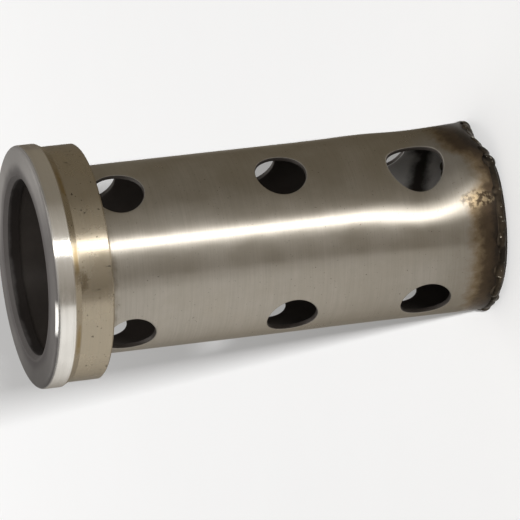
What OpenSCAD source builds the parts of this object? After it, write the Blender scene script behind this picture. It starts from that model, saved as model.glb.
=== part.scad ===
// Sound attenuator insert: a drilled steel tube with a turned collar at its open mouth and a
// welded disc at its closed end. It stands on the disc, mouth up, with its axis on +Z.
// Lengths are in millimetres and angles in degrees.

/* [Overall] */
// Height from the outer face of the disc to the mouth face of the collar
overall_len = 121; // [112:1:160]

/* [Tube] */
// Outside diameter of the tube
tube_d = 48; // [42:0.5:52]
// Wall of the tube
tube_wall = 1.2; // [0.8:0.1:1.4]

/* [Holes] */
// Diameter of the drilled holes
hole_d = 13; // [8:0.5:13]
// Distance from the collar's back edge to the first row of holes
first_row = 6.6; // [6.5:0.1:12]
// Distance from the first row of holes to the second
second_pitch = 42.5; // [30:0.5:43]
// Distance from the second row of holes to the third
third_pitch = 35.5; // [30:0.5:36]
// Angle between the two drillings that cross in each row
cross_angle = 79; // [60:1:120]

/* [Collar] */
// Length of the collar along the axis
collar_len = 15.4; // [14:0.1:15.4]
// How far the lip at the mouth stands out past the band
lip_proud = 1; // [0.5:0.1:3]
// Length of the lip, up to the slanted step
lip_len = 5.2; // [4:0.1:6]
// Length of the slanted step between lip and band
step_len = 1.8; // [1:0.1:2.5]
// Diameter of the band that plugs into the outlet
band_d = 60; // [56:0.5:66]
// Width of the ledge behind the mouth that the tube seats against
seat_ledge = 1.5; // [0.8:0.1:4]
// Thickness of the mouth wall that the tube seats against
mouth_wall = 4; // [3:0.1:6]
// Rounding of the outer edge of the mouth face
face_round = 1.2; // [0.5:0.1:2]
// Chamfer of the inner edge of the mouth
mouth_chamfer = 1; // [0.4:0.1:1.5]
// Chamfer of the back edge of the band
band_chamfer = 0.4; // [0.2:0.1:0.8]
// Gap all round between the tube and its socket in the collar
socket_gap = 0.05; // [0.02:0.01:0.2]

/* [Closed end] */
// Thickness of the disc
disc_t = 2.5; // [2.2:0.1:4]
// Height of the land that the bevel leaves on the disc's edge, next to the tube
disc_land = 0.5; // [0.3:0.1:1]
// Radius of the weld bead
bead_r = 1.7; // [1.4:0.1:1.9]
// How far the bead stands out past the tube
bead_proud = 0.6; // [0.3:0.1:0.8]
// How far the bead's centre lies below the joint of disc and tube
bead_drop = 0.4; // [0:0.1:0.6]

/* [Hidden] */
$fn = 96;

tube_r = tube_d / 2;
tube_bore_r = tube_r - tube_wall;
band_r = band_d / 2;
lip_r = band_r + lip_proud;
mouth_r = tube_r - seat_ledge;
disc_bevel = disc_t - disc_land;
bead_centre_r = tube_r + bead_proud - bead_r;

// Heights of the faces above the floor that the disc stands on
seat_z = overall_len - mouth_wall;
collar_back_z = overall_len - collar_len;
step_top_z = overall_len - lip_len;
step_low_z = step_top_z - step_len;
first_row_z = collar_back_z - first_row;
second_row_z = first_row_z - second_pitch;
third_row_z = second_row_z - third_pitch;

// Length past a face by which a cut runs, so that it opens cleanly
cut_over = 1;

module collar_outline() {
    // Band with its chamfered back edge, slanted step and the lower part of the lip
    polygon([
        [mouth_r, collar_back_z],
        [band_r - band_chamfer, collar_back_z],
        [band_r, collar_back_z + band_chamfer],
        [band_r, step_low_z],
        [lip_r, step_top_z],
        [lip_r, overall_len - face_round],
        [lip_r - face_round, overall_len - face_round],
        [lip_r - face_round, overall_len],
        [mouth_r + mouth_chamfer, overall_len],
        [mouth_r, overall_len - mouth_chamfer]
    ]);
    // Rounded outer edge of the mouth face
    translate([lip_r - face_round, overall_len - face_round]) circle(face_round);
}

module tube_socket_outline() {
    translate([0, collar_back_z - cut_over])
        square([tube_r + socket_gap, seat_z - collar_back_z + cut_over]);
}

// Turned ring: lip, slanted step and band outside, mouth and tube socket inside
module collar() {
    color("#b3aa9b")
        rotate_extrude()
            difference() {
                collar_outline();
                tube_socket_outline();
            }
}

module cross_drillings(z) {
    for (turn = [0, cross_angle])
        rotate([0, 0, turn])
            translate([0, 0, z])
                rotate([0, 90, 0])
                    cylinder(d = hole_d, h = tube_d + 2 * cut_over, center = true);
}

// Tube between the disc and its seat in the collar, cross-drilled in three rows
module perforated_tube() {
    color("#958c7e")
        difference() {
            translate([0, 0, disc_t]) cylinder(r = tube_r, h = seat_z - disc_t);
            translate([0, 0, disc_t - cut_over])
                cylinder(r = tube_bore_r, h = seat_z - disc_t + 2 * cut_over);
            for (z = [first_row_z, second_row_z, third_row_z]) cross_drillings(z);
        }
}

module disc_outline() {
    polygon([
        [0, 0],
        [tube_r - disc_bevel, 0],
        [tube_r, disc_bevel],
        [tube_r, disc_t],
        [0, disc_t]
    ]);
}

// Disc with a bevelled edge, butted on the end of the tube
module end_disc() {
    color("#6f685f") rotate_extrude() disc_outline();
}

module bead_outline() {
    difference() {
        translate([bead_centre_r, disc_t - bead_drop]) circle(bead_r);
        disc_outline();
        // Tube above the disc
        translate([0, disc_t]) square([tube_r, 2 * bead_r]);
    }
}

// Weld bead that fills the disc's bevel and laps over the end of the tube
module end_weld() {
    color("#4b443c") rotate_extrude() bead_outline();
}

collar();
perforated_tube();
end_disc();
end_weld();
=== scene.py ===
# %% [markdown]
# # A drilled sound attenuator insert
# The part sits in the outlet of an exhaust pipe and damps its sound. A thin steel tube is cross-drilled
# in three rows, a turned collar carries it at the open mouth, and a disc is welded over the far end. It
# stands on that disc, mouth up, with its axis on Z. The CAD model comes in first and gives every place
# and size.

# %% Load the frame
import math
import bmesh
import bpy
import numpy as np
from mathutils import Matrix
from mathutils import Vector


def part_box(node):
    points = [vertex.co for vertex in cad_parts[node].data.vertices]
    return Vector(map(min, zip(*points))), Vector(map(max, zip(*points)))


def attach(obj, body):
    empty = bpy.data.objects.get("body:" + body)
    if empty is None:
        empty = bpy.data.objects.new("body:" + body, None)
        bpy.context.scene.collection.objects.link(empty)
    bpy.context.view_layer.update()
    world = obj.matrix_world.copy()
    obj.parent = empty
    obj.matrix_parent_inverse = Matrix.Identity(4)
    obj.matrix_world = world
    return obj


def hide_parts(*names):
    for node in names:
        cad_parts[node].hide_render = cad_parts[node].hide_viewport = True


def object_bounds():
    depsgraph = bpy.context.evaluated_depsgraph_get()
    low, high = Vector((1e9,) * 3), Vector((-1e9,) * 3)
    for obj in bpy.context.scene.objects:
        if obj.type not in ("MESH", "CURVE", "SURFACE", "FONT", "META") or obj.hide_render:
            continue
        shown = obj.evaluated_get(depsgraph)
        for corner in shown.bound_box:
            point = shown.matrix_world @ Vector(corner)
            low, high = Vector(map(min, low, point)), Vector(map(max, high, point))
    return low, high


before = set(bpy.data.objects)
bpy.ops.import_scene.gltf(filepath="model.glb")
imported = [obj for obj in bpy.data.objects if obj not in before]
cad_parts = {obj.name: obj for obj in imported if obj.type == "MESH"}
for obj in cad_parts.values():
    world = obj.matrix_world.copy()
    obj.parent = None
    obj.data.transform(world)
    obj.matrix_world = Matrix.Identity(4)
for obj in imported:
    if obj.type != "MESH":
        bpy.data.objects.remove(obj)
cad_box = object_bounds()
scene = bpy.context.scene
print("CAD nodes:", sorted(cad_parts))

# %% [markdown]
# ## Sizes
# A drawing gives millimetres and Blender works in metres, so one factor turns the first into the
# second. The tube's own sizes are measured on the CAD node where its box shows them, and the rest
# repeat the drawing.

# %% Sizes of the tube
MM = 0.001
tube_low, tube_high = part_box("perforated_tube")
TUBE_R = tube_high.x
TUBE_FOOT = tube_low.z
TUBE_TOP = tube_high.z
TUBE_WALL = 1.2 * MM
HOLE_R = 6.5 * MM
ROW_HEIGHTS = (21 * MM, 56.5 * MM, 99 * MM)
CROSS_ANGLE = math.radians(79)
print("tube radius %.4f, foot %.4f, top %.4f" % (TUBE_R, TUBE_FOOT, TUBE_TOP))

# %% [markdown]
# ## One drilled ring of the tube
# Cutting round holes out of a finished tube with a boolean leaves ragged faces around each hole, and a
# thin wall shows them in every reflection. So one row of holes is laid out as a ring: around
# each hole a square of the wall is filled with loops that run from the square to the circle, over the
# filed edge, down the cut and out again along the inside. Plain patches fill the ring between the
# holes.

# %% Lay out a drilled ring
HALF_HEIGHT = 8.5 * MM
HALF_ANGLE = math.radians(20.5)
SIDE_CUTS = 20
OUTER_EDGE = 0.32 * MM
INNER_EDGE = 0.12 * MM
HOLE_TURNS = (0, CROSS_ANGLE, math.pi, math.pi + CROSS_ANGLE)
BORE_R = TUBE_R - TUBE_WALL


def on_tube(angle, radius, height):
    return np.stack([radius * np.cos(angle), radius * np.sin(angle), height], axis=-1)


def hole_loops(turn):
    side = np.linspace(-1, 1, SIDE_CUTS, endpoint=False)
    ones = np.ones(SIDE_CUTS)
    square_angle = np.concatenate([side, ones, -side, -ones]) * HALF_ANGLE
    square_height = np.concatenate([-ones, side, ones, -side]) * HALF_HEIGHT
    around = np.arctan2(square_height, TUBE_R * square_angle)

    def at_hole(reach, radius):
        return np.arcsin(reach * np.cos(around) / radius), reach * np.sin(around)

    def skin(share, reach, radius):
        angle, height = at_hole(reach, radius)
        angle = (1 - share) * square_angle + share * angle
        height = (1 - share) * square_height + share * height
        return on_tube(turn + angle, radius, height)

    def cut(reach, depth):
        angle, height = at_hole(reach, TUBE_R - depth)
        return on_tube(turn + angle, TUBE_R - depth, height)

    loops = [skin(share, HOLE_R + OUTER_EDGE, TUBE_R) for share in (0, 0.22, 0.42, 0.6, 0.76, 0.89, 1)]
    for lean in (25, 50, 75, 90):
        lean = math.radians(lean)
        loops.append(cut(HOLE_R + OUTER_EDGE * (1 - math.sin(lean)), OUTER_EDGE * (1 - math.cos(lean))))
    for lean in (0, 45, 90):
        lean = math.radians(lean)
        reach = HOLE_R + INNER_EDGE * (1 - math.cos(lean))
        loops.append(cut(reach, TUBE_WALL - INNER_EDGE * (1 - math.sin(lean))))
    loops += [skin(share, HOLE_R + INNER_EDGE, BORE_R) for share in (0.75, 0.5, 0.25, 0)]
    return loops


def quads(rows, columns, start, closed):
    wide = columns if closed else columns - 1
    found = []
    for row in range(rows - 1):
        for column in range(wide):
            here = start + row * columns + column
            beside = start + row * columns + (column + 1) % columns
            found.append((here, beside, beside + columns, here + columns))
    return found


def mesh_from_grids(name, grids):
    points = []
    faces = []
    for grid, closed in grids:
        faces += quads(grid.shape[0], grid.shape[1], len(points), closed)
        points += grid.reshape(-1, 3).tolist()
    mesh = bpy.data.meshes.new(name)
    mesh.from_pydata(points, [], faces)
    return mesh


patch_angles = []
for index, turn in enumerate(HOLE_TURNS):
    after = HOLE_TURNS[(index + 1) % 4] + (2 * math.pi if index == 3 else 0)
    patch_cuts = 20 if index % 2 == 0 else 32
    patch_angles.append(np.linspace(turn + HALF_ANGLE, after - HALF_ANGLE, patch_cuts + 1))

ring_grids = [(np.stack(hole_loops(turn)), True) for turn in HOLE_TURNS]
ring_heights = np.linspace(-HALF_HEIGHT, HALF_HEIGHT, SIDE_CUTS + 1)
for angles in patch_angles:
    across, up = np.meshgrid(angles, ring_heights)
    ring_grids += [(on_tube(across, TUBE_R, up), False), (on_tube(across, BORE_R, up), False)]
drilled_mesh = mesh_from_grids("drilled_ring", ring_grids)
print("drilled ring:", len(drilled_mesh.vertices), "points,", len(drilled_mesh.polygons), "faces")

# %% [markdown]
# ## A plain ring
# The wall between two rows has no holes. One plain ring of height 1 is enough for all four stretches,
# because it can be scaled to the height that is wanted. Its points lie at the same angles as the
# drilled ring's, so the two weld.

# %% Lay out a plain ring
PLAIN_CUTS = 12
plain_angles = []
for turn, angles in zip(HOLE_TURNS, patch_angles):
    plain_angles += np.linspace(turn - HALF_ANGLE, turn + HALF_ANGLE, SIDE_CUTS, endpoint=False).tolist()
    plain_angles += angles[:-1].tolist()
across, up = np.meshgrid(plain_angles, np.linspace(0, 1, PLAIN_CUTS + 1))
plain_grids = [(on_tube(across, TUBE_R, up), True), (on_tube(across, BORE_R, up), True)]
plain_mesh = mesh_from_grids("plain_ring", plain_grids)
print("plain ring:", len(plain_mesh.vertices), "points")

# %% [markdown]
# ## Helpers for node trees
# Geometry Nodes and materials are both trees of nodes, so one helper adds a node, sets it and joins it
# up. A second runs a geometry tree on a base mesh and keeps the result as a plain mesh, because an
# exported model holds no modifiers.

# %% Node helpers


def node(tree, kind, joins=None, **settings):
    made = tree.nodes.new(kind)
    for name, value in settings.items():
        setattr(made, name, value)
    for name, source in (joins or {}).items():
        if isinstance(source, bpy.types.NodeSocket):
            tree.links.new(source, made.inputs[name])
        else:
            made.inputs[name].default_value = source
    return made


def geometry_tree(name, sockets):
    tree = bpy.data.node_groups.new(name, "GeometryNodeTree")
    tree.interface.new_socket("Geometry", in_out="OUTPUT", socket_type="NodeSocketGeometry")
    tree.interface.new_socket("Geometry", in_out="INPUT", socket_type="NodeSocketGeometry")
    for socket, kind in sockets.items():
        tree.interface.new_socket(socket, in_out="INPUT", socket_type="NodeSocket" + kind)
    return tree, tree.nodes.new("NodeGroupInput").outputs


def link_piece(name, mesh):
    piece = bpy.data.objects.new(name, mesh)
    scene.collection.objects.link(piece)
    return piece


def run_tree(name, base, tree, values):
    maker = link_piece(name + "_maker", base)
    modifier = maker.modifiers.new(tree.name, "NODES")
    modifier.node_group = tree
    for item in tree.interface.items_tree:
        if item.in_out == "INPUT" and item.name in values:
            modifier[item.identifier] = values[item.name]
    graph = bpy.context.evaluated_depsgraph_get()
    mesh = bpy.data.meshes.new_from_object(maker.evaluated_get(graph), depsgraph=graph)
    maker.modifiers.remove(modifier)
    bpy.data.objects.remove(maker)
    mesh.name = name
    return link_piece(name, mesh)


def close_tree(tree, geometry, material):
    whole = node(tree, "GeometryNodeRealizeInstances", {"Geometry": geometry})
    coated = node(tree, "GeometryNodeSetMaterial", {"Geometry": whole.outputs[0], "Material": material})
    smooth = node(tree, "GeometryNodeSetShadeSmooth", {"Geometry": coated.outputs[0]})
    node(tree, "NodeGroupOutput", {"Geometry": smooth.outputs[0]})


# %% [markdown]
# ## The tube as a stack of rings
# The rows repeat, so Geometry Nodes stack the rings. Each point of the stack says how high it lies,
# whether its ring is drilled, and how tall a plain ring is. The tree puts a ring on each point and
# welds the seams. The named input for the weld distance is far smaller than the shortest edge, so only
# the seams close.

# %% Stack the rings
stack = [(height, True, 1.0) for height in ROW_HEIGHTS]
stops = [TUBE_FOOT]
for height in ROW_HEIGHTS:
    stops += [height - HALF_HEIGHT, height + HALF_HEIGHT]
stops.append(TUBE_TOP)
stack += [(low, False, high - low) for low, high in zip(stops[0::2], stops[1::2])]

stack_mesh = bpy.data.meshes.new("ring_stack")
stack_mesh.from_pydata([(0, 0, height) for height, drilled, tall in stack], [], [])
stack_mesh.attributes.new("drilled", "BOOLEAN", "POINT")
stack_mesh.attributes.new("tall", "FLOAT", "POINT")
stack_mesh.attributes["drilled"].data.foreach_set("value", [drilled for height, drilled, tall in stack])
stack_mesh.attributes["tall"].data.foreach_set("value", [tall for height, drilled, tall in stack])

tube_steel = bpy.data.materials.new("tube_steel")
drilled_ring = link_piece("drilled_ring", drilled_mesh)
plain_ring = link_piece("plain_ring", plain_mesh)

RING_SOCKETS = {"Drilled ring": "Object", "Plain ring": "Object", "Seam": "Float", "Steel": "Material"}
ring_tree, given = geometry_tree("stack_of_rings", RING_SOCKETS)
is_drilled = node(ring_tree, "GeometryNodeInputNamedAttribute", {"Name": "drilled"}, data_type="BOOLEAN")
is_plain = node(ring_tree, "FunctionNodeBooleanMath", {0: is_drilled.outputs[0]}, operation="NOT")
how_tall = node(ring_tree, "GeometryNodeInputNamedAttribute", {"Name": "tall"}, data_type="FLOAT")
stretch = node(ring_tree, "ShaderNodeCombineXYZ", {"X": 1.0, "Y": 1.0, "Z": how_tall.outputs[0]})
rings = node(ring_tree, "GeometryNodeJoinGeometry")
for ring, chosen in (("Drilled ring", is_drilled), ("Plain ring", is_plain)):
    shape = node(ring_tree, "GeometryNodeObjectInfo", {"Object": given[ring]})
    places = {
        "Points": given["Geometry"], "Selection": chosen.outputs[0],
        "Instance": shape.outputs["Geometry"], "Scale": stretch.outputs[0],
    }
    placed = node(ring_tree, "GeometryNodeInstanceOnPoints", places)
    ring_tree.links.new(placed.outputs[0], rings.inputs[0])
loose = node(ring_tree, "GeometryNodeRealizeInstances", {"Geometry": rings.outputs[0]})
seams = {"Geometry": loose.outputs[0], "Distance": given["Seam"]}
welded = node(ring_tree, "GeometryNodeMergeByDistance", seams)
close_tree(ring_tree, welded.outputs[0], given["Steel"])

ring_values = {
    "Drilled ring": drilled_ring, "Plain ring": plain_ring, "Seam": 0.01 * MM, "Steel": tube_steel,
}
tube = run_tree("drilled_tube", stack_mesh, ring_tree, ring_values)
bpy.data.objects.remove(drilled_ring)
bpy.data.objects.remove(plain_ring)
print("tube:", len(tube.data.vertices), "points")

# %% [markdown]
# ## Dents and closed ends
# The real tube has been knocked about near its closed end: the wall is sunk beside the row of holes
# there, one hole is stretched, the heat of the weld has drawn the edge outwards, and one corner is
# crushed. Each dent is a soft bump of its own width, added to the radius of the wall, inside and out
# alike, so the thickness stays. The crushed corner is lifted as well. Before that, the ring of raw
# metal at each end is closed and the faces are turned outwards.

# %% Press the dents
# Each dent: turn in degrees, height, depth (outwards is more), width around and width along
DENTS = (
    (1, 22, -2.0, 12.5, 9),
    (47, 29, 0.35, 9, 9),
    (2, 7, 1.35, 14, 7.5),
    (18, -0.5, -3.0, 8, 3.5),
    (50, 0.5, 0.6, 8, 5),
    (-110, 34, -0.2, 12, 16),
    (150, 68, -0.25, 14, 18),
)
# The crushed corner: turn in degrees, lift, width around and width along
CRUSH = (18, 1.3, 8, 5)
# The hole that the dent stretched: its row, how far its edge was pulled, how far along the tube the
# pull reaches, and the share by which the hole grew within which reach
TORN_ROW = ROW_HEIGHTS[0]
TORN_PULL = 3.2
TORN_LONG = 9
TORN_GROWTH = 0.12
TORN_WIDE = 10


def ease(value, low, high):
    share = np.clip((value - low) / (high - low), 0, 1)
    return share * share * (3 - 2 * share)


def tear_hole(angle, height):
    aside = angle * TUBE_R / MM
    along = (height - TORN_ROW) / MM
    near = np.exp(-(along / TORN_LONG) ** 2)
    pull = ease(aside, 4, -6.5) * ease(aside, -24, -7) * near
    wider = TORN_GROWTH * np.exp(-(np.hypot(aside, along) / TORN_WIDE) ** 4)
    return angle - TORN_PULL * pull * MM / TUBE_R, height + along * wider * MM


def widths_aside(angle, turn, wide):
    aside = (angle - math.radians(turn) + math.pi) % (2 * math.pi) - math.pi
    return aside * TUBE_R / (wide * MM)


def press_dents(points):
    angle = np.arctan2(points[:, 1], points[:, 0])
    angle, height = tear_hole(angle, points[:, 2])
    pushed = np.hypot(points[:, 0], points[:, 1])
    for turn, level_mm, depth, wide, long in DENTS:
        aside = widths_aside(angle, turn, wide)
        along = (height - level_mm * MM) / (long * MM)
        pushed += depth * MM * np.exp(-aside**2 - along**2)
    turn, lift, wide, long = CRUSH
    aside = widths_aside(angle, turn, wide)
    height = height + lift * MM * np.exp(-aside**2 - (height / (long * MM)) ** 2)
    return on_tube(angle, pushed, height)


print("dents:", len(DENTS), "and one crushed corner")

# %% Close the ends and press the wall
WALL_SHARP = math.radians(50)


def by_turn(corner):
    return math.atan2(corner.co.y, corner.co.x)


def close_end(shell, corners):
    middle = TUBE_R - TUBE_WALL / 2
    outer = sorted((corner for corner in corners if corner.co.xy.length > middle), key=by_turn)
    inner = sorted((corner for corner in corners if corner.co.xy.length <= middle), key=by_turn)
    for index in range(len(outer)):
        shell.faces.new((outer[index - 1], outer[index], inner[index], inner[index - 1]))


def finish_shell(piece):
    shell = bmesh.new()
    shell.from_mesh(piece.data)
    raw = {corner for edge in shell.edges if edge.is_boundary for corner in edge.verts}
    halfway = (TUBE_FOOT + TUBE_TOP) / 2
    close_end(shell, [corner for corner in raw if corner.co.z < halfway])
    close_end(shell, [corner for corner in raw if corner.co.z > halfway])
    bmesh.ops.recalc_face_normals(shell, faces=shell.faces)
    still_open = sum(edge.is_boundary for edge in shell.edges)
    shell.to_mesh(piece.data)
    shell.free()
    return still_open


print("open edges on the tube:", finish_shell(tube))
tube_points = np.array([point.co for point in tube.data.vertices])
wall_depth = (TUBE_R - np.hypot(tube_points[:, 0], tube_points[:, 1])) / TUBE_WALL
tube.data.attributes.new("wall_depth", "FLOAT", "POINT")
tube.data.attributes["wall_depth"].data.foreach_set("value", wall_depth)
tube.data.vertices.foreach_set("co", press_dents(tube_points).ravel())
tube.data.set_sharp_from_angle(angle=WALL_SHARP)

# %% [markdown]
# ## The weld bead
# A welder lays the bead drop by drop around the joint of disc and tube, and each drop freezes as a
# small ripple over the last. Modelled as one smooth ring it would look cast. So a tree walks round a
# circle, lays a flattened drop at each step with a seeded change of size and lean, adds the ring of
# filler under them and melts all of it together through a volume.

# %% A tree for the bead
BEAD_R = 22.95 * MM
BEAD_HEIGHT = 2.15 * MM
MELT_DEPTH = 1.5 * MM
LEAST_SIZE = (0.72, 0.8, 0.85)
MOST_SIZE = (0.95, 1.22, 1.6)
LEAST_SWAY = (-0.5 * MM, -0.5 * MM, -0.3 * MM)
MOST_SWAY = (0.6 * MM, 0.6 * MM, 0.7 * MM)
weld_metal = bpy.data.materials.new("weld_metal")

BEAD_SOCKETS = {
    "Ring radius": "Float", "Height": "Float", "Drops": "Int", "Drop size": "Float", "Filler": "Float",
    "Fineness": "Float", "Seed": "Int", "Metal": "Material",
}
bead_tree, given = geometry_tree("weld_bead", BEAD_SOCKETS)
around_rim = {"Resolution": 160, "Radius": given["Ring radius"]}
path = node(bead_tree, "GeometryNodeCurvePrimitiveCircle", around_rim).outputs[0]
cross = node(bead_tree, "GeometryNodeCurvePrimitiveCircle", {"Resolution": 16, "Radius": given["Filler"]})
filler = node(bead_tree, "GeometryNodeCurveToMesh", {"Curve": path, "Profile Curve": cross.outputs[0]})
steps = node(bead_tree, "GeometryNodeCurveToPoints", {"Curve": path, "Count": given["Drops"]}, mode="COUNT")
ball = {"Segments": 16, "Rings": 10, "Radius": given["Drop size"]}
drop = node(bead_tree, "GeometryNodeMeshUVSphere", ball)
sizes = {0: LEAST_SIZE, 1: MOST_SIZE, "Seed": given["Seed"]}
size = node(bead_tree, "FunctionNodeRandomValue", sizes, data_type="FLOAT_VECTOR")
sways = {0: LEAST_SWAY, 1: MOST_SWAY, "Seed": given["Seed"]}
sway = node(bead_tree, "FunctionNodeRandomValue", sways, data_type="FLOAT_VECTOR")
moved = {"Geometry": steps.outputs[0], "Offset": sway.outputs[0]}
swayed = node(bead_tree, "GeometryNodeSetPosition", moved)
lay = {"Points": swayed.outputs[0], "Instance": drop.outputs[0], "Rotation": steps.outputs["Rotation"]}
drops = node(bead_tree, "GeometryNodeInstanceOnPoints", {**lay, "Scale": size.outputs[0]})
hot = node(bead_tree, "GeometryNodeJoinGeometry")
for source in (drops, filler):
    bead_tree.links.new(source.outputs[0], hot.inputs[0])
solid = node(bead_tree, "GeometryNodeRealizeInstances", {"Geometry": hot.outputs[0]})
fine = {"Mesh": solid.outputs[0], "Voxel Size": given["Fineness"], "Interior Band Width": MELT_DEPTH}
melt = node(bead_tree, "GeometryNodeMeshToVolume", fine, resolution_mode="VOXEL_SIZE")
set_hard = node(bead_tree, "GeometryNodeVolumeToMesh", {"Volume": melt.outputs[0]}, resolution_mode="GRID")
rise = node(bead_tree, "ShaderNodeCombineXYZ", {"Z": given["Height"]})
lifted = {"Geometry": set_hard.outputs[0], "Offset": rise.outputs[0]}
raised = node(bead_tree, "GeometryNodeSetPosition", lifted)
close_tree(bead_tree, raised.outputs[0], given["Metal"])
print("bead tree:", len(bead_tree.nodes), "nodes")

# %% Lay the bead
BEAD_CLEAR = 0.25 * MM
bead_values = {
    "Ring radius": BEAD_R, "Height": BEAD_HEIGHT, "Drops": 36, "Drop size": 1.9 * MM, "Filler": 1.5 * MM,
    "Fineness": 0.3 * MM, "Seed": 11, "Metal": weld_metal,
}
bead = run_tree("weld_bead", bpy.data.meshes.new("bead_base"), bead_tree, bead_values)
bead_points = np.array([point.co for point in bead.data.vertices])
bead_points = press_dents(bead_points)
bead_points[:, 2] = np.maximum(bead_points[:, 2], BEAD_CLEAR)
bead.data.vertices.foreach_set("co", bead_points.ravel())
print("bead:", len(bead.data.polygons), "faces, from", bead_points.min(0), "to", bead_points.max(0))

# %% [markdown]
# ## The disc
# The disc is welded to the tube, so the knock that pushed in a corner of the tube took the disc's rim
# along, and where the tube's edge was drawn outwards the rim followed. A round disc would show through
# the pressed corner. So its bevelled rim is turned from the profile, pressed with the same dents, and
# closed by two flat faces.

# %% Press the disc
# The rim as radius and height, from the floor up, and the radius within which both faces stay flat
DISC_PROFILE = ((22.0, 0.0), (23.0, 1.0), (24.0, 2.0), (24.0, 2.5))
DISC_FLAT = 16.0
DISC_CUTS = 160
RIM_SHARP = math.radians(30)
disc_turns = np.linspace(0, 2 * math.pi, DISC_CUTS, endpoint=False)
rims = []
for rim_mm, level_mm in DISC_PROFILE:
    rims.append(press_dents(on_tube(disc_turns, rim_mm * MM, np.full(DISC_CUTS, level_mm * MM))))
for place_in_list, level_mm in ((0, DISC_PROFILE[0][1]), (len(rims) + 1, DISC_PROFILE[-1][1])):
    rims.insert(place_in_list, on_tube(disc_turns, DISC_FLAT * MM, np.full(DISC_CUTS, level_mm * MM)))
disc_faces = quads(len(rims), DISC_CUTS, 0, True)
disc_faces.append(tuple(reversed(range(DISC_CUTS))))
disc_faces.append(tuple(range((len(rims) - 1) * DISC_CUTS, len(rims) * DISC_CUTS)))
disc_mesh = bpy.data.meshes.new("pressed_disc")
disc_mesh.from_pydata(np.concatenate(rims).tolist(), [], disc_faces)
disc_mesh.shade_smooth()
disc_mesh.set_sharp_from_angle(angle=RIM_SHARP)
disc = link_piece("pressed_disc", disc_mesh)
print("disc:", len(disc_mesh.polygons), "faces")

# %% [markdown]
# ## Helpers for the finishes
# Every finish here is worked out from the place on the part: how far a point lies from the axis, how
# high it is and at which turn. Those three come from Object coordinates once per material, in
# millimetres and degrees, so the numbers below can be read off the real part with a ruler.

# %% Finish helpers


def maths(tree, operation, first, second=0.0):
    return node(tree, "ShaderNodeMath", {0: first, 1: second}, operation=operation).outputs[0]


def band(tree, value, low, high, from_value=0.0, to_value=1.0):
    span = {"Value": value, "From Min": low, "From Max": high, "To Min": from_value, "To Max": to_value}
    return node(tree, "ShaderNodeMapRange", span, interpolation_type="SMOOTHSTEP").outputs[0]


def blend(tree, share, first, second, kind="MIX"):
    made = node(tree, "ShaderNodeMix", {0: share, 6: first, 7: second}, data_type="RGBA", blend_type=kind)
    return made.outputs[2]


def grain(tree, place, scale, detail=4.0, stretch=(1, 1, 1)):
    sized = node(tree, "ShaderNodeMapping", {"Vector": place, "Scale": stretch})
    settings = {"Vector": sized.outputs[0], "Scale": scale, "Detail": detail, "Roughness": 0.6}
    return node(tree, "ShaderNodeTexNoise", settings).outputs[0]


def stir(tree, noise, reach):
    return maths(tree, "MULTIPLY", maths(tree, "SUBTRACT", noise, 0.5), reach)


def towards(tree, turn, centre):
    aside = maths(tree, "SUBTRACT", turn, centre)
    return maths(tree, "COSINE", maths(tree, "MULTIPLY", aside, math.pi / 180))


def squares(tree, first, second):
    first = maths(tree, "MULTIPLY", first, first)
    return maths(tree, "ADD", first, maths(tree, "MULTIPLY", second, second))


def start_finish(material):
    material.use_nodes = True
    tree = material.node_tree
    tree.nodes.clear()
    place = node(tree, "ShaderNodeTexCoord").outputs["Object"]
    parts = node(tree, "ShaderNodeSeparateXYZ", {0: place}).outputs
    flat = node(tree, "ShaderNodeCombineXYZ", {"X": parts[0], "Y": parts[1]}).outputs[0]
    length = node(tree, "ShaderNodeVectorMath", {0: flat}, operation="LENGTH").outputs["Value"]
    radius = maths(tree, "MULTIPLY", length, 1000.0)
    height = maths(tree, "MULTIPLY", parts[2], 1000.0)
    turn = maths(tree, "MULTIPLY", maths(tree, "ARCTAN2", parts[1], parts[0]), 180 / math.pi)
    return tree, place, radius, height, turn


# Colour of steel seen at a slant, and the turn of its brushed lines as a share of a whole turn
EDGE_TINT = (0.7, 0.685, 0.66, 1.0)
BRUSH_TURN = 0.25


def end_finish(tree, skin, roughness, metallic, relief, depth, brushed=0.0):
    bump = node(tree, "ShaderNodeBump", {"Height": relief, "Strength": 1.0, "Distance": depth})
    joins = {"Base Color": skin, "Roughness": roughness, "Metallic": metallic, "Normal": bump.outputs[0],
             "Anisotropic": brushed, "Anisotropic Rotation": BRUSH_TURN, "Specular Tint": EDGE_TINT}
    shader = node(tree, "ShaderNodeBsdfPrincipled", joins)
    node(tree, "ShaderNodeOutputMaterial", {"Surface": shader.outputs[0]})


def colour(red, green, blue):
    return (red, green, blue, 1.0)


# %% [markdown]
# ## Tube steel
# The tube was drawn, brushed and then used. Its wall is warm grey with faint cloudy stains and fine
# brushed lines. Towards the weld it passes through straw and brown to black, the colours that heat
# leaves on steel, and on one side the scorch reaches further up. Golden spatter sticks beside the weld,
# and a line of grime lies where the tube enters the collar. The inside is sooty, and low in the tube a
# pale patch of painted light lies on it, where light through the holes would fall. One flat metal would
# show none of this, so the heat colours follow the height above the weld, moved about by noise and by
# the turn.

# %% Tube: brushed steel and grime
SEAM_LOW = 102.6
SEAM_HIGH = 105.4
tree, place, radius, height, turn = start_finish(tube_steel)
clouds = grain(tree, place, 70.0, 6.0)
mottle = grain(tree, place, 420.0, 5.0)
lines = grain(tree, place, 1.0, 3.0, (60, 60, 2600))
specks = grain(tree, place, 1900.0, 2.0)

steel = blend(tree, band(tree, clouds, 0.35, 0.7), colour(0.44, 0.405, 0.35), colour(0.52, 0.485, 0.43))
steel = blend(tree, band(tree, lines, 0.3, 0.75, 0.0, 0.35), steel, colour(0.36, 0.33, 0.28))
steel = blend(tree, band(tree, specks, 0.68, 0.74, 0.0, 0.6), steel, colour(0.06, 0.05, 0.04))

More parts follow.
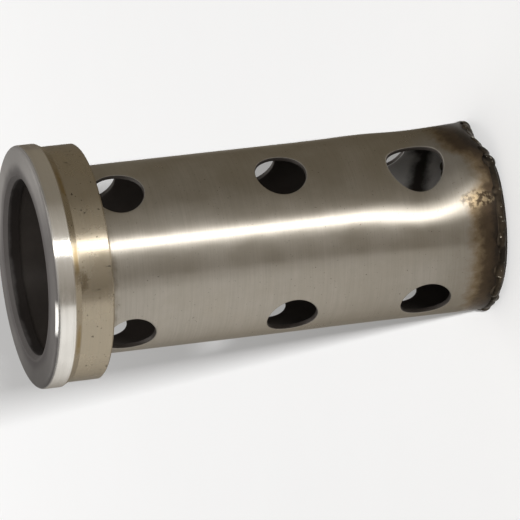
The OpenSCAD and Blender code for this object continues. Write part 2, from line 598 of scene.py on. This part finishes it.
seam = maths(tree, "ADD", height, stir(tree, mottle, 4.0))
patchy = band(tree, clouds, 0.38, 0.58, 0.1, 0.75)
seam = maths(tree, "MULTIPLY", band(tree, seam, SEAM_LOW, SEAM_HIGH), patchy)
steel = blend(tree, seam, steel, colour(0.2, 0.16, 0.11))
print("brushed steel:", len(tree.nodes), "nodes")

# %% Tube: heat colours
SCORCH_TURN = 42.0
SCORCH_REACH = 3.7
SPARED_TURN = -14.0
SPARED_DIP = 3.6
reach = band(tree, towards(tree, turn, SCORCH_TURN), 0.35, 1.0, 0.0, SCORCH_REACH)
spared = band(tree, towards(tree, turn, SPARED_TURN), 0.95, 1.0, 0.0, SPARED_DIP)
reach = maths(tree, "SUBTRACT", reach, spared)
stirred = stir(tree, mottle, 5.0)
heat = maths(tree, "SUBTRACT", maths(tree, "ADD", height, stirred), reach)
steel = blend(tree, band(tree, heat, 24.0, 9.0, 0.0, 0.45), steel, colour(0.27, 0.235, 0.185))
straw = blend(tree, band(tree, heat, 8.0, 12.0), colour(0.24, 0.18, 0.11), steel)
brown = blend(tree, band(tree, heat, 6.0, 9.4), colour(0.085, 0.06, 0.038), straw)
burnt = blend(tree, band(tree, heat, 2.6, 6.0), colour(0.036, 0.028, 0.022), brown)
print("with heat colours:", len(tree.nodes), "nodes")

# %% Tube: spatter beside the weld
SPATTER_TURN = -33.0
SPATTER_HEIGHT = 7.7
SPATTER_WIDE = 2.3
SPATTER_LONG = 4.2
MM_PER_DEGREE = 0.42
spat_aside = maths(tree, "SUBTRACT", turn, SPATTER_TURN)
spat_aside = maths(tree, "MULTIPLY", spat_aside, MM_PER_DEGREE / SPATTER_WIDE)
spat_along = maths(tree, "SUBTRACT", height, SPATTER_HEIGHT)
spat_along = maths(tree, "MULTIPLY", spat_along, 1 / SPATTER_LONG)
spat_far = squares(tree, spat_aside, spat_along)
spat_near = band(tree, maths(tree, "ADD", spat_far, maths(tree, "MULTIPLY", stirred, 0.6)), 1.4, 0.3)
crumbs = grain(tree, place, 850.0, 4.0)
gold = blend(tree, band(tree, crumbs, 0.42, 0.6), colour(0.035, 0.024, 0.014), colour(0.42, 0.325, 0.195))
burnt = blend(tree, maths(tree, "MULTIPLY", spat_near, 0.55), burnt, gold)
print("with spatter:", len(tree.nodes), "nodes")

# %% Tube: soot inside
# The turn that the patch of painted light inside the tube faces
LIT_INSIDE_TURN = 91.0
wall_depth = node(tree, "ShaderNodeAttribute", attribute_name="wall_depth").outputs["Fac"]
inside = band(tree, wall_depth, 0.005, 0.1)
soot = blend(tree, clouds, colour(0.018, 0.014, 0.012), colour(0.065, 0.054, 0.046))
# Painted light: a pale patch on the inner wall, facing this turn and low in the tube, where light through
# the holes would fall.
lit_inside_facing = towards(tree, turn, LIT_INSIDE_TURN)
lit_inside_level = maths(tree, "ADD", height, stir(tree, clouds, 14.0))
lit_inside_zones = maths(tree, "MAXIMUM", band(tree, lit_inside_level, 11.5, 16.0), band(tree, lit_inside_level, 9.5, 5.5))
lit_inside_zones = maths(tree, "MULTIPLY", lit_inside_zones, band(tree, height, 40.0, 26.0))
painted_light_inside = maths(tree, "MULTIPLY", band(tree, lit_inside_facing, 0.8, 0.95), band(tree, wall_depth, 0.85, 0.98))
soot = blend(tree, maths(tree, "MULTIPLY", painted_light_inside, lit_inside_zones), soot, colour(0.75, 0.72, 0.68))
skin = blend(tree, inside, burnt, soot)
rough = band(tree, clouds, 0.3, 0.7, 0.27, 0.36)
rough = maths(tree, "ADD", rough, band(tree, heat, 9.0, 4.0, 0.0, 0.15))
rough = maths(tree, "MAXIMUM", rough, maths(tree, "MULTIPLY", inside, 0.5))
relief = maths(tree, "ADD", maths(tree, "MULTIPLY", lines, 0.35), clouds)
metal = maths(tree, "SUBTRACT", 1.0, maths(tree, "MULTIPLY", inside, 0.8))
end_finish(tree, skin, rough, metal, relief, 0.03 * MM, 0.8)
print("tube finish:", len(tree.nodes), "nodes")

# %% [markdown]
# ## Turned collar
# The collar was turned in a lathe: the lip is polished by handling, the slanted step holds a line of
# golden grime, the band has a straw tint with small pits and one brown stain, the mouth face is dull
# and the bore is black with soot. On the side that faces the pale sheet of the card the lip is painted
# lighter, a painted reflection. The CAD node has the right shape, so it stays and only gets this
# finish, split by height and distance from the axis.

# %% Collar: lip, step and band
# The turn where the lip is painted lighter, a painted reflection
REFLECTION_SIDE_TURN = -110.0
STAIN_TURN = -53.0
STAIN_HEIGHT = 113.2
STAIN_WIDE = 7.0
STAIN_LONG = 1.4
turned_steel = bpy.data.materials.new("turned_steel")
tree, place, radius, height, turn = start_finish(turned_steel)
clouds = grain(tree, place, 90.0, 6.0)
lathe = grain(tree, place, 1.0, 3.0, (40, 40, 2200))
pits = grain(tree, place, 900.0, 2.0)

polished = blend(tree, clouds, colour(0.7, 0.665, 0.61), colour(0.82, 0.785, 0.73))
# Painted reflection: the lip is lighter on the side that faces the pale sheet of the card.
painted_reflection_side = band(tree, towards(tree, turn, REFLECTION_SIDE_TURN), 0.6, 0.82)
polished = blend(tree, painted_reflection_side, polished, colour(0.9, 0.88, 0.84))
tinted = blend(tree, clouds, colour(0.42, 0.36, 0.265), colour(0.53, 0.465, 0.365))
tinted = blend(tree, band(tree, pits, 0.66, 0.72, 0.0, 0.8), tinted, colour(0.05, 0.04, 0.03))
on_lip = band(tree, height, 115.5, 116.1)
wall = blend(tree, on_lip, tinted, polished)
grime = maths(tree, "MULTIPLY", band(tree, height, 114.0, 114.6), band(tree, height, 115.9, 114.9))
grime = maths(tree, "MULTIPLY", grime, band(tree, clouds, 0.44, 0.6, 0.0, 0.8))
wall = blend(tree, grime, wall, colour(0.36, 0.26, 0.12))
across = maths(tree, "DIVIDE", maths(tree, "SUBTRACT", turn, STAIN_TURN), STAIN_WIDE)
along = maths(tree, "DIVIDE", maths(tree, "SUBTRACT", height, STAIN_HEIGHT), STAIN_LONG)
stain = maths(tree, "SQRT", squares(tree, across, along))
stain = maths(tree, "ADD", stain, stir(tree, pits, 2.0))
wall = blend(tree, band(tree, stain, 1.0, 0.3, 0.0, 0.6), wall, colour(0.2, 0.145, 0.08))
wall = blend(tree, band(tree, lathe, 0.35, 0.75, 0.0, 0.2), wall, colour(0.36, 0.33, 0.28))
print("collar wall:", len(tree.nodes), "nodes")

# %% Collar: mouth face
RUBBED_TURN = -70.0
LIGHTER_FACE_TURN = 50.0
on_edge = maths(tree, "MULTIPLY", band(tree, height, 120.1, 120.45), band(tree, radius, 29.3, 29.8))
rubbed = band(tree, towards(tree, turn, RUBBED_TURN), 0.9993, 0.984)
on_edge = maths(tree, "MULTIPLY", on_edge, rubbed)
face = blend(tree, clouds, colour(0.085, 0.078, 0.074), colour(0.15, 0.14, 0.133))
# The face is lighter towards one turn.
lighter_face = blend(tree, clouds, colour(0.24, 0.225, 0.213), colour(0.33, 0.312, 0.295))
face = blend(tree, band(tree, towards(tree, turn, LIGHTER_FACE_TURN), 0.1, 0.95), face, lighter_face)
face_stain = maths(tree, "ADD", radius, maths(tree, "MULTIPLY", clouds, 3.0))
face = blend(tree, band(tree, face_stain, 28.6, 25.6, 0.0, 0.7), face, colour(0.06, 0.052, 0.052))
on_face = maths(tree, "MULTIPLY", band(tree, height, 120.75, 120.95), band(tree, radius, 30.3, 29.9))
flat_face = maths(tree, "MAXIMUM", on_edge, on_face)
wall = blend(tree, flat_face, wall, face)
print("with mouth face:", len(tree.nodes), "nodes")

# %% Collar: bore and gloss
soot = blend(tree, clouds, colour(0.012, 0.009, 0.008), colour(0.035, 0.028, 0.024))
inner = band(tree, radius, 24.4, 23.6)
uneven = maths(tree, "ADD", height, stir(tree, clouds, 3.0))
in_bore = maths(tree, "MULTIPLY", inner, band(tree, uneven, 119.9, 118.8))
rim = blend(tree, clouds, colour(0.07, 0.063, 0.06), colour(0.125, 0.114, 0.108))
skin = blend(tree, in_bore, blend(tree, inner, wall, rim), soot)
dull = maths(tree, "MULTIPLY", flat_face, 0.45)
dull = maths(tree, "MAXIMUM", maths(tree, "MULTIPLY", inner, 0.6), dull)
metal = maths(tree, "SUBTRACT", 1.0, dull)
rough = band(tree, clouds, 0.3, 0.7, 0.24, 0.34)
rough = maths(tree, "SUBTRACT", rough, maths(tree, "MULTIPLY", on_lip, 0.06))
rough = maths(tree, "MAXIMUM", rough, maths(tree, "MULTIPLY", inner, 0.7))
rough = maths(tree, "MAXIMUM", rough, maths(tree, "MULTIPLY", flat_face, 0.5))
end_finish(tree, skin, rough, metal, maths(tree, "ADD", lathe, clouds), 0.02 * MM, 0.7)
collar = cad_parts["collar"]
collar.data.materials.clear()
collar.data.materials.append(turned_steel)
print("collar finish:", len(tree.nodes), "nodes")

# %% [markdown]
# ## Weld metal and disc
# The bead cooled in air, so it is dark brown to black scale, with bare glints where ripples have
# rubbed. The disc behind it was scorched by the same heat: dark at the edge, greyer in the middle, with
# rings from facing it.

# %% Weld and disc finish
tree, place, radius, height, turn = start_finish(weld_metal)
clouds = grain(tree, place, 160.0, 6.0)
scale_spots = grain(tree, place, 700.0, 4.0)
skin = blend(tree, band(tree, clouds, 0.35, 0.68), colour(0.022, 0.018, 0.014), colour(0.07, 0.053, 0.036))
skin = blend(tree, band(tree, scale_spots, 0.62, 0.7), skin, colour(0.55, 0.5, 0.4))
rough = band(tree, scale_spots, 0.35, 0.7, 0.5, 0.25)
end_finish(tree, skin, rough, 1.0, scale_spots, 0.1 * MM)

disc_steel = bpy.data.materials.new("disc_steel")
tree, place, radius, height, turn = start_finish(disc_steel)
clouds = grain(tree, place, 80.0, 6.0)
rings = grain(tree, node(tree, "ShaderNodeCombineXYZ", {"X": radius}).outputs[0], 2.2, 3.0)
middle = blend(tree, clouds, colour(0.16, 0.14, 0.12), colour(0.28, 0.25, 0.21))
ragged = maths(tree, "ADD", radius, maths(tree, "MULTIPLY", clouds, 8.0))
skin = blend(tree, band(tree, ragged, 16.0, 25.0), middle, colour(0.035, 0.028, 0.022))
rough = band(tree, clouds, 0.3, 0.7, 0.4, 0.6)
end_finish(tree, skin, rough, 1.0, rings, 0.03 * MM)
disc.data.materials.append(disc_steel)
print("weld and disc finishes made")

# %% [markdown]
# ## Pieces to the frame
# The tube, the bead and the disc stand for the CAD nodes of the same pieces, which are hidden, and
# ride on the one body there is.

# %% Pieces to the frame
for piece, solid_node, finish_slot in (
    (tube, "perforated_tube", "tube_steel"),
    (bead, "end_weld", "weld_metal"),
    (disc, "end_disc", "disc_steel"),
):
    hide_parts(solid_node)
    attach(piece, "root")

# %% [markdown]
# ## Floor and camera
# The part is pictured against white, so the floor is matt, pale and wide. The camera stands where the
# edges in the photograph put it. There the part lies on its side, and here it stands, so the camera is
# rolled until the mouth points to the left.

# %% Floor
FLOOR_HALF = 4.0
floor_paint = bpy.data.materials.new("floor_paint")
floor_paint.use_nodes = True
tree = floor_paint.node_tree
tree.nodes.clear()
fleck = grain(tree, node(tree, "ShaderNodeTexCoord").outputs["Object"], 12.0, 3.0)
paint = blend(tree, fleck, colour(0.88, 0.88, 0.88), colour(0.9, 0.9, 0.9))
matt = node(tree, "ShaderNodeBsdfDiffuse", {"Color": paint})
node(tree, "ShaderNodeOutputMaterial", {"Surface": matt.outputs[0]})
corners = [
    (-FLOOR_HALF, -FLOOR_HALF, 0), (FLOOR_HALF, -FLOOR_HALF, 0),
    (FLOOR_HALF, FLOOR_HALF, 0), (-FLOOR_HALF, FLOOR_HALF, 0),
]
floor_mesh = bpy.data.meshes.new("floor")
floor_mesh.from_pydata(corners, [], [(0, 1, 2, 3)])
floor = link_piece("floor", floor_mesh)
floor.data.materials.append(floor_paint)
print("floor:", 2 * FLOOR_HALF, "m wide")

# %% Camera
LOOK_TURN = math.radians(47)
LOOK_RISE = math.radians(14.9)
ROLL = math.radians(6.62)
FOCAL_PIXELS = 5933
PHOTO_PIXELS = 520
# Where the middle of the mouth lies as the camera sees it, in metres
MOUTH_RIGHT = -0.05928
MOUTH_UP = -0.00197
MOUTH_AWAY = 1.5

back = Vector((
    math.sin(LOOK_TURN) * math.cos(LOOK_RISE),
    -math.cos(LOOK_TURN) * math.cos(LOOK_RISE),
    math.sin(LOOK_RISE),
))
level = Vector((math.cos(LOOK_TURN), math.sin(LOOK_TURN), 0))
upright = back.cross(level)
camera_x = -math.sin(ROLL) * level - math.cos(ROLL) * upright
camera_y = math.cos(ROLL) * level - math.sin(ROLL) * upright
mouth = Vector((0, 0, cad_box[1][2]))
seat = mouth - MOUTH_RIGHT * camera_x - MOUTH_UP * camera_y + MOUTH_AWAY * back

camera_data = bpy.data.cameras.new("camera")
camera_data.sensor_width = 36
camera_data.lens = FOCAL_PIXELS / PHOTO_PIXELS * camera_data.sensor_width
camera_data.clip_end = 50
camera = bpy.data.objects.new("camera", camera_data)
camera.matrix_world = Matrix((
    (camera_x.x, camera_y.x, back.x, seat.x),
    (camera_x.y, camera_y.y, back.y, seat.y),
    (camera_x.z, camera_y.z, back.z, seat.z),
    (0, 0, 0, 1),
))
scene.collection.objects.link(camera)
scene.camera = camera
print("camera at", tuple(round(value, 4) for value in seat))

# %% [markdown]
# ## Lights
# Steel shows its surroundings, so the lamps for the part are shapes to be mirrored. A tall narrow lamp
# draws the bright line along the tube, a strip on the floor carries the line down to the weld, and a
# wide dim panel softens its edges. A large box high behind the part fills in the rest. Two lamps are
# for the floor. A box far behind the part keeps the shade from going black, and a small lamp in line
# with the camera throws the part's soft shadow. A lamp so near would light the floor unevenly, so its
# light is set not to fade with distance.

# %% Lights
LINE_TURN = 13.3
LINE_AWAY = 0.3
LINE_RISE = 0.17
LINE_TALL = 0.34
LINE_SPREAD = 100
STRIP_AWAY = 0.17
STRIP_RISE = 0.5 * MM
KEY_TURN = 0.8
KEY_AWAY = 1.0
KEY_RISE = 0.25
KEY_SIZE = 0.024
KEY_SPREAD = 80
KEY_GLOW = 3800.0
BEHIND = 180
PART_MIDDLE = Vector((0, 0, 0.06))
TOWARDS_CAMERA = Vector((math.sin(LOOK_TURN), -math.cos(LOOK_TURN), 0))


def lamp(name, around, away, rise, wide, tall, glow, aim=PART_MIDDLE, spread=180):
    data = bpy.data.lights.new(name, "AREA")
    data.shape = "RECTANGLE"
    data.size = wide
    data.size_y = tall
    data.energy = glow * math.pi * wide * tall
    data.spread = math.radians(spread)
    holder = bpy.data.objects.new(name, data)
    around = math.radians(around)
    holder.location = (TOWARDS_CAMERA * math.cos(around) + level * math.sin(around)) * away
    holder.location.z = rise
    backwards = (holder.location - aim).normalized()
    holder.rotation_euler = backwards.to_track_quat("Z", "Y").to_euler()
    holder.visible_camera = False
    scene.collection.objects.link(holder)
    return holder


line_aim = Vector((0, 0, LINE_RISE))
line_place = (LINE_TURN, LINE_AWAY, LINE_RISE)
bright_line = lamp("bright_line", *line_place, 0.05, LINE_TALL, 2.0, line_aim, LINE_SPREAD)
line_glow = lamp("line_glow", *line_place, 0.55, LINE_TALL, 0.12, line_aim, LINE_SPREAD)
floor_strip = lamp("floor_strip", LINE_TURN, STRIP_AWAY, STRIP_RISE, 0.026, 0.25, 3.5)
floor_strip.rotation_euler = (math.pi, 0, LOOK_TURN + math.radians(LINE_TURN))
floor_box = lamp("floor_box", BEHIND, 0.5, 1.6, 3.6, 3.6, 1.46)
floor_box.rotation_euler = (0, 0, LOOK_TURN)

floor_fill = lamp("floor_fill", BEHIND, 1.2, 1.0, 1.2, 1.2, 1.6)
floor_fill.rotation_euler = (0, 0, LOOK_TURN)
key_aim = Vector((0, 0, KEY_RISE))
key_place = (KEY_TURN, KEY_AWAY, KEY_RISE)
floor_key = lamp("floor_key", *key_place, KEY_SIZE, KEY_SIZE, KEY_GLOW, key_aim, KEY_SPREAD)
floor_key.data.use_nodes = True
key_tree = floor_key.data.node_tree
steady = node(key_tree, "ShaderNodeLightFalloff", {"Strength": 1.0})
key_tree.links.new(steady.outputs["Constant"], key_tree.nodes["Emission"].inputs["Strength"])
print("lamps:", len(bpy.data.lights))

# %% [markdown]
# ## A dark card
# In the photograph the upper half of the tube mirrors a dim room, and the lower half a white table.
# Here the whole part stands on white, so a round card lies under it, as a photographer would lay one:
# dark felt on one side of a straight edge and a pale sheet on the other. Only reflections see it.

# %% Dark card
CARD_NEAR = 0.04
CARD_FAR = 1.5
CARD_RISE = 0.3 * MM
CARD_CUTS = 60
TABLE_EDGE = 72.0
EDGE_BEND = 11.0
card_paint = bpy.data.materials.new("card_paint")
tree, place, radius, height, turn = start_finish(card_paint)
edge_turn = band(tree, radius, 330.0, 420.0, TABLE_EDGE, TABLE_EDGE + EDGE_BEND)
past_edge = maths(tree, "ADD", turn, edge_turn)
half_turns = {0: past_edge, 1: 180.0, 2: -180.0}
from_edge = node(tree, "ShaderNodeMath", half_turns, operation="WRAP").outputs[0]
on_table = maths(tree, "MULTIPLY", band(tree, from_edge, 1.5, -1.5), band(tree, from_edge, -155.0, -38.0))

farther = band(tree, radius, 400.0, 440.0)
dim_felt = blend(tree, farther, colour(0.2, 0.177, 0.137), colour(0.26, 0.235, 0.19))
farther = band(tree, radius, 420.0, 440.0)
lit_felt = blend(tree, farther, colour(0.29, 0.262, 0.218), colour(0.2, 0.178, 0.148))
felt = blend(tree, band(tree, from_edge, 80.0, 30.0), dim_felt, lit_felt)
pale = blend(tree, band(tree, radius, 40.0, 300.0), colour(0.53, 0.51, 0.477), colour(0.94, 0.915, 0.88))
pale = blend(tree, band(tree, radius, 300.0, 400.0), pale, colour(0.98, 0.97, 0.95))
cover = blend(tree, on_table, felt, pale)
cover = blend(tree, grain(tree, place, 40.0, 3.0), cover, colour(0.9, 0.9, 0.9), "MULTIPLY")
matt = node(tree, "ShaderNodeBsdfDiffuse", {"Color": cover})
node(tree, "ShaderNodeOutputMaterial", {"Surface": matt.outputs[0]})

facing_camera = math.atan2(TOWARDS_CAMERA.y, TOWARDS_CAMERA.x)
card_angles = facing_camera + np.linspace(-math.pi, math.pi, CARD_CUTS)
card_rises = np.full(CARD_CUTS, CARD_RISE)
card_grid = np.stack([on_tube(card_angles, edge, card_rises) for edge in (CARD_NEAR, CARD_FAR)])
card = link_piece("dark_card", mesh_from_grids("dark_card", [(card_grid, False)]))
card.data.materials.append(card_paint)
card.visible_camera = False
card.visible_diffuse = False
card.visible_transmission = False
card.visible_shadow = False
print("card:", len(card.data.polygons), "faces")

# %% [markdown]
# ## Which lamp lights what
# The lamps for the steel would leave bright wedges on the floor, and the lamp that throws the shadow
# would flatten the steel. Moving them apart would move what the steel mirrors. So light linking names
# what each lamp reaches: the part and the card for the first kind, and the floor for the second.

# %% Light linking and sky
lit_part = bpy.data.collections.new("lit_part")
for receiver in (tube, bead, disc, collar, card):
    lit_part.objects.link(receiver)
for part_lamp in (bright_line, line_glow, floor_box):
    part_lamp.light_linking.receiver_collection = lit_part
lit_floor = bpy.data.collections.new("lit_floor")
lit_floor.objects.link(floor)
for floor_lamp in (floor_fill, floor_key):
    floor_lamp.light_linking.receiver_collection = lit_floor

world = bpy.data.worlds.new("studio")
scene.world = world
world.use_nodes = True
sky = world.node_tree.nodes["Background"]
sky.inputs["Color"].default_value = colour(1.0, 0.97, 0.93)
sky.inputs["Strength"].default_value = 0.2
scene.view_settings.view_transform = "Standard"
